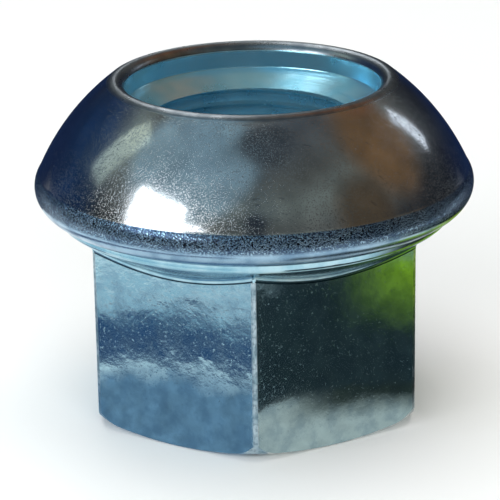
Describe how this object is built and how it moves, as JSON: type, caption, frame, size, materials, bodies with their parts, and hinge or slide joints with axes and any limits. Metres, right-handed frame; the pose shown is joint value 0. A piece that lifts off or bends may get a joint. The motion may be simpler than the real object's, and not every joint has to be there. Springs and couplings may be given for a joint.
{
  "type": "lug nut",
  "caption": "Open-ended hex lug nut with a domed ball-seat collar and a through thread that centres and clamps a wheel on its stud.",
  "frame": {"origin": "centre of the flat foot, on the thread's axis, where the nut stands", "axes": "+Z along the thread's axis, from the foot to the ball seat; a corner of the hexagon points along -Y and two flats face +X and -X"},
  "size_m": [0.0446, 0.0446, 0.0343],
  "materials": {
    "plated_steel": "forged and turned steel, bright zinc plated with a pale blue tint, semi-gloss"
  },
  "bodies": {
    "root": {"nut": "plated_steel"}
  },
  "joints": []
}
